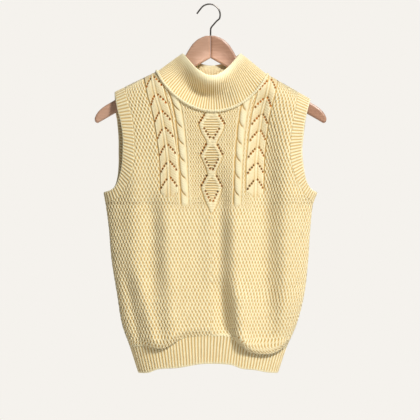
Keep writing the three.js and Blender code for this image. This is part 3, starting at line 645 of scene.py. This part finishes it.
blouse = {
    "x": [-152, -128, -112, -92, -72, -45, 40, 60, 80, 112, 132, 144],
    "drop": [0, 2, 6, 8, 5, 1.5, 1.5, 6, 10, 11, 7, 0],
    "backDrop": 3.5,
    "height": 30,
    "outShare": 0.8, "downShare": 1.3,
    "sideDepth": 12,   # depth over which it fades towards the sides
}


# Fold of the body over the hem: the drop at each x, times a sine of the height's power that fades
# upwards, pushes the last rows out and lets them hang down.
def swellOverHem(grid, face):
    t = np.clip((grid[..., 2] - hemTop[face](grid[..., 0])) / blouse["height"], 0, 1)
    over = blouse["backDrop"]
    if face == "front":
        over = curveThrough(blouse["x"], blouse["drop"])(grid[..., 0])
    wave = np.sin(np.pi * t ** 0.6) * (1 - t)
    edge = np.minimum(np.abs(grid[..., 1]) / blouse["sideDepth"], 1)
    grid[..., 1] += outward[face] * over * blouse["outShare"] * wave * edge
    grid[..., 2] -= over * blouse["downShare"] * wave * edge


# Level line at the underarm for any x.
def underarmLine(x):
    return np.full_like(x, body["underarm"])


# One face of the body as two pieces, below and above the underarm. They are worked out as one
# grid, so that relief and shading run on across the row that they share.
def dressFace(face, rows, columns, stitches, material):
    lower = panelGrid(face, hemTop[face], underarmLine, rows["body"], columns)
    upper = panelGrid(face, underarmLine, lambda x: topHeight(x, face), rows["yoke"], columns)
    grid = np.concatenate([lower[:-1], upper])
    split = len(lower) - 1
    x, z = grid[..., 0].copy(), grid[..., 2].copy()
    across = lengthAlong(grid, 1)
    s, w = levelLengths(grid)
    middle = np.argmin(np.abs(x - centreLine), axis=1)
    s = s - np.take_along_axis(s, middle[:, None], 1)
    w = w - w[split]
    out = np.array([0, outward[face], 0])
    swellOverHem(grid, face)
    plain = grid.copy()
    normals = gridNormals(grid, out)
    height, shade = stitches(x, z, s, w)
    sideShare = np.minimum(np.minimum(across, across[:, -1:] - across) / knitting["sideFade"], 1)
    grid = grid + normals * (height * sideShare)[..., None]
    leaveOut = np.zeros((grid.shape[0] - 1, grid.shape[1] - 1), dtype=bool)
    if face == "front":
        shade, leaveOut = openEyelets(grid, shade, x, z, normals)
    normals = gridNormals(grid, out)
    for part, first, last in (("body", 0, split + 1), ("yoke", split, len(grid))):
        piece = gridMesh(
            face + "_" + part + "_knit", grid[first:last], shade[first:last],
            np.stack([s, w], -1)[first:last], np.broadcast_to(out, grid[first:last].shape), material,
            leaveOut=leaveOut[first:last - 1], normals=normals[first:last])
        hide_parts(face)
        declareCloth(piece, plain[first:last])


# Section of a band: up the outer face, round the open edge and down the inner face.
# The middle surface lies half a thickness under the outer one, and ribs stand out on both sides.
def bandGrid(outer, ribs, band, outwardAt, closed):
    rows, columns = outer.shape[:2]
    normal = gridNormals(outer, outwardAt, closed)
    half = band["half"]
    middle = outer - normal * half
    edgeDirection = outer[-1] - outer[-2]
    edgeDirection /= np.linalg.norm(edgeDirection, axis=-1, keepdims=True)
    turns = np.linspace(0, np.pi, band["turns"] + 2)[1:-1]
    phase = 2 * np.pi * ribs * np.arange(columns) / (columns if closed else columns - 1)
    knit = 0.5 - 0.5 * np.cos(phase)
    profile = 1 - (1 - knit) ** 1.8
    length = lengthAlong(outer, 0)
    rise = band["rib"] * (profile - 0.25)
    fadeIn = 1 - 0.75 * smooth((length / length[-1:] - 1 + band["plainEdge"]) / band["plainEdge"])
    stitch = 0.12 * np.cos(2 * np.pi * length / 3.3) * profile
    outerFace = middle + normal * (half + rise * fadeIn + stitch)[..., None]
    innerFace = middle - normal * (half + 0.6 * rise * fadeIn)[..., None]
    edgeRise = (rise * fadeIn[-1])[None, :]
    cosine, sine = np.cos(turns)[:, None], np.sin(turns)[:, None]
    size = half + edgeRise * (0.8 + 0.2 * cosine)
    edge = middle[-1][None] + normal[-1][None] * (size * cosine)[..., None] \
        + edgeDirection[None] * (half * 1.1 * sine)[..., None]
    grid = np.concatenate([outerFace, edge, innerFace[::-1]])
    # painted shade in the grooves between ribs, less towards the plain edge
    groove = (1 - profile) ** 0.8
    shadeOuter = groove * fadeIn * band["shade"] + np.zeros_like(length)
    shadeEdge = np.broadcast_to(groove * fadeIn[-1] * band["shade"] * 0.6, (len(turns), columns))
    shade = np.concatenate([shadeOuter, shadeEdge, shadeOuter[::-1]])
    w = np.concatenate([length, length[-1:] + half * turns[:, None], length[::-1] + 3 * half])
    s = np.broadcast_to(phase / (2 * np.pi) * band["pitch"], w.shape)
    return grid, shade, np.stack([s, w], -1)


# Ribbed bands; each also gives how strongly painted shade darkens the grooves between its ribs.
collar = {"ribs": 112, "samples": 8, "rows": 40, "half": 1.9, "turns": 5, "rib": 1.15, "shade": 1.0,
          "plainEdge": 0.28, "pitch": 5.2,
          # place across, half width and height of each hollow or swelling in front
          "swell": [(-20, 50, -23), (50, 18, 3)], "frontDepth": 20}
hemBand = {"ribs": 53, "samples": 8, "rows": 26, "half": 1.35, "turns": 4, "rib": 1.0, "shade": 0.95,
           "plainEdge": 0.06, "pitch": 5.0, "tucked": 4}
armBand = {"ribs": 40, "samples": 8, "rows": 14, "half": 1.35, "turns": 4, "rib": 1.0, "shade": 0.9,
           "plainEdge": 0.08, "pitch": 6.2}
turning = crowdedEnds(400)


# Line of points spaced evenly, as one row.
def evenLine(points, count):
    return evenly(points[None], count, 1)[0]


# Closed line of points: along the front half and back along the other, without the shared ends.
def ringOf(halves, count):
    front, back = (evenLine(half, count + 1) for half in halves)
    return np.concatenate([front[:-1], back[::-1][:-1]])


# Neck seam on one face: x runs as a sine from end to end, at the lower of seam and shoulder.
def neckLine(face):
    x = neck["middle"] + neck["halfWidth"] * np.sin(np.pi * (turning - 0.5))
    return bodyPoint(x, np.minimum(neckHeight(x, face), ridgeHeight(x)), face)


# Rim of the collar: half an ellipse seen from above, which dips by a power of its cosine.
def rimLine(face):
    angle = np.pi * (turning - 0.5)
    far = np.maximum(np.cos(angle), 0)
    return np.stack([
        rim["middle"] + rim["halfWidth"] * np.sin(angle),
        outward[face] * rim[face + "Reach"] * far,
        rim["sideHeight"] - rim[face + "Drop"] * far ** rim["curve"]], axis=-1)


# The collar: straight lines from seam to rim, moved along their normals by bells across the front
# times the squared sine of the share of the height.
def collarPiece(material):
    count = collar["ribs"] * collar["samples"] // 2
    base = ringOf([neckLine("front"), neckLine("back")], count)
    top = ringOf([rimLine("front"), rimLine("back")], count)
    share = np.linspace(0, 1, collar["rows"])[:, None, None]
    outer = base + (top - base) * share
    away = np.stack([outer[..., 0] - neck["middle"], 2 * outer[..., 1], 0 * outer[..., 2]], -1)
    normal = gridNormals(outer, away, closed=True)
    inFront = smooth(-outer[..., 1] / collar["frontDepth"])
    swell = sum(size * bell(outer[..., 0] - place, width) for place, width, size in collar["swell"])
    outer = outer + normal * ((swell * inFront)[..., None] * np.sin(np.pi * share ** 0.75) ** 2)
    grid, shade, cloth = bandGrid(outer, collar["ribs"], collar, away, closed=True)
    piece = gridMesh("collar_knit", grid, shade, cloth, away, material, closed=True, section=True)
    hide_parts("collar")
    declareCloth(piece, outer, closed=True)


# One armband: on front and back each row is a share of the way from the seam to the open edge,
# set back on the body's own surface, and both halves make a ring.
def armbandPiece(side, material):
    table = armholeLeft if side == "left" else armholeRight
    count = armBand["ribs"] * armBand["samples"]

    def line(kind, face):
        curve, top, bottom = armholeCurve(side, kind, face)
        z = top + (bottom - top) * turning
        return bodyPoint(curve(z), z, face)

    def half(face):
        seam = evenLine(line("seam", face), count + 1)
        edge = evenLine(line("edge", face), count + 1)
        share = np.linspace(0, 1, armBand["rows"])[:, None, None]
        mixed = seam + (edge - seam) * share
        return bodyPoint(mixed[..., 0], mixed[..., 2], face)

    outer = np.concatenate([half("front")[:, :-1], half("back")[:, ::-1][:, :-1]], axis=1)
    middle = (table["seamZ"][0] + body["underarm"]) / 2
    away = np.stack([outer[..., 0] * 0.2, outer[..., 1] * 4, (outer[..., 2] - middle) * 0.2], -1)
    grid, shade, cloth = bandGrid(outer, 2 * armBand["ribs"], armBand, away, closed=True)
    piece = gridMesh("armband_" + side + "_knit", grid, shade, cloth, away, material,
                     closed=True, section=True)
    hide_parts("armband_" + side)
    declareCloth(piece, outer, closed=True)


# Half of the waistband: each row is a share of the way from its top line to its bottom line, and x
# runs as a sine between the body's sides at that height.
def hemPiece(face, material):
    count = hemBand["ribs"] * hemBand["samples"]

    def line(share):
        across = np.sin(np.pi * (turning - 0.5))
        z = np.full(len(across), -650.0)
        for _ in range(8):
            x = leftAt(z) + (rightAt(z) - leftAt(z)) * (across + 1) / 2
            top, bottom = hemTop[face](x), hemBottom[face](x)
            z = top + hemBand["tucked"] + (bottom - top - hemBand["tucked"]) * share
        return evenLine(bodyPoint(x, z, face), count + 1)

    outer = np.stack([line(share) for share in np.linspace(0, 1, hemBand["rows"])])
    out = np.broadcast_to(np.array([0, outward[face], 0]), outer.shape)
    grid, shade, cloth = bandGrid(outer, hemBand["ribs"], hemBand, out, False)
    piece = gridMesh("hem_" + face + "_knit", grid, shade, cloth, out, material, section=True)
    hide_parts("hem_" + face)
    declareCloth(piece, outer)


# Round chain along a closed line of points: its radius swells as the sine's size once a stitch.
def chainAlong(name, line, towards, radius, pitch, material):
    ahead = np.roll(line, -1, axis=0) - np.roll(line, 1, axis=0)
    ahead /= np.linalg.norm(ahead, axis=-1, keepdims=True)
    out = towards - (towards * ahead).sum(-1, keepdims=True) * ahead
    out /= np.linalg.norm(out, axis=-1, keepdims=True)
    beside = np.cross(ahead, out)
    length = np.concatenate([[0], np.cumsum(np.linalg.norm(np.diff(line, axis=0), axis=-1))])
    count = max(round(length[-1] / pitch), 1)
    swell = np.abs(np.sin(np.pi * count * length / length[-1]))
    size = radius * (0.72 + 0.28 * swell)
    angle = np.linspace(0, 2 * np.pi, 10, endpoint=False)[:, None]
    grid = line[None] + (out[None] * (np.cos(angle) * size)[..., None]) \
        + beside[None] * (np.sin(angle) * size * 1.15)[..., None]
    grid = np.concatenate([grid, grid[:1]])
    # painted shade between the chain's stitches, where its radius narrows
    shade = np.broadcast_to(0.35 * (1 - swell) ** 2, grid.shape[:2])
    cloth = np.stack(np.broadcast_arrays(length[None], radius * np.arange(len(grid))[:, None]), -1)
    gridMesh(name, grid, shade, cloth, out[None], material, closed=True)


# Shader maths: a wrapped socket on which Python's operators add Math nodes.
class Wire:
    def __init__(self, tree, socket):
        self.tree = tree
        self.socket = socket

    def calc(self, operation, *others):
        values = {i: value for i, value in enumerate((self, *others))}
        return self.tree.add("ShaderNodeMath", {"operation": operation}, values)

    def __add__(self, other): return self.calc("ADD", other)
    def __radd__(self, other): return self.calc("ADD", other)
    def __sub__(self, other): return self.calc("SUBTRACT", other)
    def __rsub__(self, other): return self.tree.number(other).calc("SUBTRACT", self)
    def __mul__(self, other): return self.calc("MULTIPLY", other)
    def __rmul__(self, other): return self.calc("MULTIPLY", other)
    def clipped(self): return self.tree.add("ShaderNodeClamp", {}, {"Value": self})


# The nodes of a material or world, and the node that they all lead to.
class Shading:
    def __init__(self, owner, last="Principled BSDF"):
        owner.use_nodes = True
        self.owner = owner
        self.nodes = owner.node_tree.nodes
        self.links = owner.node_tree.links
        self.last = self.nodes[last]

    # Adds one node: settings first, then the values or wires of its sockets.
    def add(self, kind, settings=None, inputs=None, output=0):
        node = self.nodes.new(kind)
        for key, value in (settings or {}).items():
            setattr(node, key, value)
        for key, value in (inputs or {}).items():
            self.put(node.inputs[key], value)
        return Wire(self, node.outputs[output])

    def put(self, socket, value):
        if isinstance(value, Wire):
            self.links.new(value.socket, socket)
        else:
            socket.default_value = value

    def number(self, value):
        return self.add("ShaderNodeMath", {"operation": "ADD"}, {0: value, 1: 0.0})

    # Colour mix: the first where the factor is 0 and the second where it is 1.
    def mix(self, factor, first, second):
        inputs = {"Factor": factor, 6: first, 7: second}
        return self.add("ShaderNodeMix", {"data_type": "RGBA"}, inputs, output=2)

    def feed(self, **values):
        for key, value in values.items():
            self.put(self.last.inputs[key.replace("_", " ")], value)

    def bump(self, height, distance):
        inputs = {"Height": height, "Distance": distance, "Strength": 1.0}
        self.feed(Normal=self.add("ShaderNodeBump", {}, inputs))


# Linear colour from screen values: the screen's own curve undone for each channel.
def colour(red, green, blue):
    channels = np.array([red, green, blue]) / 255
    linear = np.where(channels <= 0.04045, channels / 12.92, ((channels + 0.055) / 1.055) ** 2.4)
    return (*linear, 1.0)


# The yarn's own colour on raised stitches, the painted shade of its hollows, and the painted shade inside an
# eyelet's rim; patch and speck vary the tone at random.
yarnLook = {
    "raised": colour(253, 243, 203), "paintedPitShade": colour(210, 170, 92), "paintedEyeletShade": colour(196, 112, 22),
    "patch": 0.10, "speck": 0.18, "fibre": 0.00035, "roughness": 0.88,
}


# Knitted cotton: the painted shade attribute, made patchy by two noises, mixes the pale yarn into the
# colour of its painted shade, and from 1 to 2 into the painted shade of an eyelet's rim. Fibre and twist are
# bumps.
def yarnMaterial():
    yarn = Shading(bpy.data.materials.new("knitted_cotton"))
    place = yarn.add("ShaderNodeTexCoord", output=3)
    cloth = yarn.add("ShaderNodeUVMap", {"uv_map": "cloth"})
    shade = yarn.add("ShaderNodeAttribute", {"attribute_name": "shade"}, output=2)
    patch = yarn.add("ShaderNodeTexNoise", {}, {"Vector": place, "Scale": 55.0, "Detail": 3.0})
    fine = yarn.add("ShaderNodeTexNoise", {}, {"Vector": place, "Scale": 1500.0, "Detail": 2.0})
    twist = yarn.add("ShaderNodeTexWave", {"bands_direction": "DIAGONAL"}, {
        "Vector": cloth, "Scale": 22.0, "Distortion": 3.0, "Detail": 1.0}, output=1)
    patchy = shade + (patch - 0.5) * (2 * yarnLook["patch"])
    # mask of the painted shade in the stitches' hollows
    pitShadeMask = (patchy + (fine - 0.5) * yarnLook["speck"]).clipped()
    knitted = yarn.mix(pitShadeMask, yarnLook["raised"], yarnLook["paintedPitShade"])
    # painted shade of an eyelet's rim, where the attribute passes 1
    eyeletShadeMask = (shade - 1.0).clipped()
    yarn.feed(Base_Color=yarn.mix(eyeletShadeMask, knitted, yarnLook["paintedEyeletShade"]), Roughness=yarnLook["roughness"])
    yarn.feed(Sheen_Weight=0.25, Sheen_Roughness=0.5)
    yarn.bump(fine * 0.7 + twist * 0.5, yarnLook["fibre"])
    return yarn.owner


# Each arm has its own pale and dark colour, the left paler than the right.
woodLook = {
    "left": (colour(203, 163, 138), colour(176, 132, 107)),
    "right": (colour(190, 146, 120), colour(160, 115, 90)),
    "grain": 26.0, "pores": 160.0, "roughness": 0.42,
}


# Lacquered wood: a noise stretched along the arm is the grain, which mixes pale into dark, and a
# finer one the pores.
def woodMaterial(side, slope):
    pale, dark = woodLook[side]
    wood = Shading(bpy.data.materials.new("lacquered_wood_" + side))
    place = wood.add("ShaderNodeTexCoord", output=3)
    turned = wood.add("ShaderNodeMapping", {"vector_type": "POINT"}, {
        "Vector": place, "Rotation": (0.0, slope, 0.0), "Scale": (1.0, 6.0, 12.0)})
    grain = wood.add("ShaderNodeTexNoise", {}, {
        "Vector": turned, "Scale": woodLook["grain"], "Detail": 6.0, "Roughness": 0.6, "Distortion": 0.6})
    pores = wood.add("ShaderNodeTexNoise", {}, {"Vector": turned, "Scale": woodLook["pores"], "Detail": 2.0})
    mask = ((grain - 0.35) * 1.9).clipped()
    wood.feed(Base_Color=wood.mix(mask, pale, dark), Roughness=woodLook["roughness"] + grain * 0.12)
    wood.feed(Coat_Weight=0.25, Coat_Roughness=0.25)
    wood.bump(pores * 0.6 + grain * 0.4, 0.00015)
    return wood.owner


# Plated wire: one noise mixes two greys and varies the roughness.
def wireMaterial():
    wire = Shading(bpy.data.materials.new("dark_plated_wire"))
    place = wire.add("ShaderNodeTexCoord", output=3)
    wear = wire.add("ShaderNodeTexNoise", {}, {"Vector": place, "Scale": 220.0, "Detail": 4.0})
    wire.feed(Base_Color=wire.mix(wear, colour(92, 88, 84), colour(128, 124, 120)), Metallic=0.9)
    wire.feed(Roughness=0.32 + wear * 0.16)
    return wire.owner


# The cloth

yarn = yarnMaterial()
# rows below and above the underarm, columns and stitches of each panel
panels = {
    "front": ({"body": 252, "yoke": 250}, 390, frontStitches),
    "back": ({"body": 190, "yoke": 180}, 300, backStitches),
}
for face, (rows, columns, stitches) in panels.items():
    dressFace(face, rows, columns, stitches, yarn)
print("panels knitted")

collarPiece(yarn)
for side in ("left", "right"):
    armbandPiece(side, yarn)
for face in ("front", "back"):
    hemPiece(face, yarn)
print("ribs knitted")

chain = {"radius": 2.6, "pitch": 4.6, "raise": 2.4}
neckRing = ringOf([neckLine("front"), neckLine("back")], 700)
neckSide = (neckRing[:, 0] - neck["middle"]) * 0.4
neckOut = np.stack([neckSide, neckRing[:, 1] * 2, np.full_like(neckSide, 8)], -1)
neckRing = neckRing + neckOut / np.linalg.norm(neckOut, axis=-1, keepdims=True) * chain["raise"]
chainAlong("neck_chain", neckRing, neckOut, chain["radius"], chain["pitch"], yarn)
print("seams worked")

# The hanger

for side, slope in (("left", -0.5), ("right", 0.5)):
    wood = bpy.data.objects["hanger_" + side]
    wood.data.materials.clear()
    wood.data.materials.append(woodMaterial(side, slope))
hook = bpy.data.objects["hanger_hook"]
hook.data.materials.clear()
hook.data.materials.append(wireMaterial())
print("hanger finished")

# Camera, lights and floor

view = {"distance": 6.0, "width": 0.798, "x": -0.0011, "z": -0.3897, "sensor": 36.0}
camera = bpy.data.objects.new("camera", bpy.data.cameras.new("camera"))
bpy.context.collection.objects.link(camera)
camera.data.sensor_width = view["sensor"]
camera.data.lens = view["sensor"] * view["distance"] / view["width"]
camera.location = (view["x"], -view["distance"], view["z"])
camera.rotation_euler = (np.pi / 2, 0, 0)
bpy.context.scene.camera = camera


# Lamp that looks from its place at its aim: a disk, or a narrow spot where a cone is given.
def addLamp(name, place, aim, size, watts, tint=(1, 1, 1), cone=None):
    light = bpy.data.objects.new(name, bpy.data.lights.new(name, "SPOT" if cone else "AREA"))
    bpy.context.collection.objects.link(light)
    if cone:
        light.data.spot_size = np.radians(cone)
        light.data.spot_blend = 0.6
        light.data.shadow_soft_size = size
    else:
        light.data.shape = "DISK"
        light.data.size = size
    light.data.energy = watts
    light.data.color = tint
    light.location = place
    light.rotation_euler = (Vector(aim) - Vector(place)).to_track_quat("-Z", "Y").to_euler()


warm = (1.0, 0.98, 0.95)
lamps = {
    "key_light": {"place": (3.4, -4.3, 4.1), "aim": (0, 0, -0.38), "size": 1.4, "watts": 490, "tint": warm},
    "fill_light": {"place": (-0.9, -3.8, 0.9), "aim": (0, 0, -0.3), "size": 1.6, "watts": 9},
    "back_light": {"place": (0.5, 3.2, 1.6), "aim": (0, 0, -0.38), "size": 2.2, "watts": 60},
    "neck_light": {"place": (0.16, -2.0, 0.40), "aim": (0, 0.027, -0.131), "size": 0.03, "watts": 560,
                   "tint": warm, "cone": 1.0},
}
for name, lamp in lamps.items():
    addLamp(name, **lamp)
bpy.context.scene.view_settings.view_transform = "Standard"

studio = {
    "seen": colour(245, 242, 237),     # what the camera sees behind the vest
    "light": colour(250, 248, 244), "lightStrength": 0.15,
    "floor": colour(240, 237, 232), "floorRadius": 2.4, "floorHeight": -1.25, "floorCorners": 96,
}

world = bpy.data.worlds.new("studio")
bpy.context.scene.world = world
sky = Shading(world, "World Output")
cameraRay = sky.add("ShaderNodeLightPath", output="Is Camera Ray")
pale = sky.add("ShaderNodeBackground", {}, {"Color": studio["seen"], "Strength": 1.0})
soft = sky.add("ShaderNodeBackground", {}, {"Color": studio["light"], "Strength": studio["lightStrength"]})
sky.feed(Surface=sky.add("ShaderNodeMixShader", {}, {"Fac": cameraRay, 1: soft, 2: pale}))

floorShading = Shading(bpy.data.materials.new("pale_floor"))
floorShading.feed(Base_Color=studio["floor"], Roughness=0.9)
floorMesh = bpy.data.meshes.new("floor")
corners = studio["floorCorners"]
turn = np.linspace(0, 2 * np.pi, corners, endpoint=False)
disc = np.stack([np.cos(turn) * studio["floorRadius"], np.sin(turn) * studio["floorRadius"],
                 np.full(corners, studio["floorHeight"])], -1)
floorMesh.from_pydata(disc.tolist(), [], [list(range(corners))])
floorMesh.materials.append(floorShading.owner)
floor = bpy.data.objects.new("floor", floorMesh)
bpy.context.collection.objects.link(floor)
print("studio set")
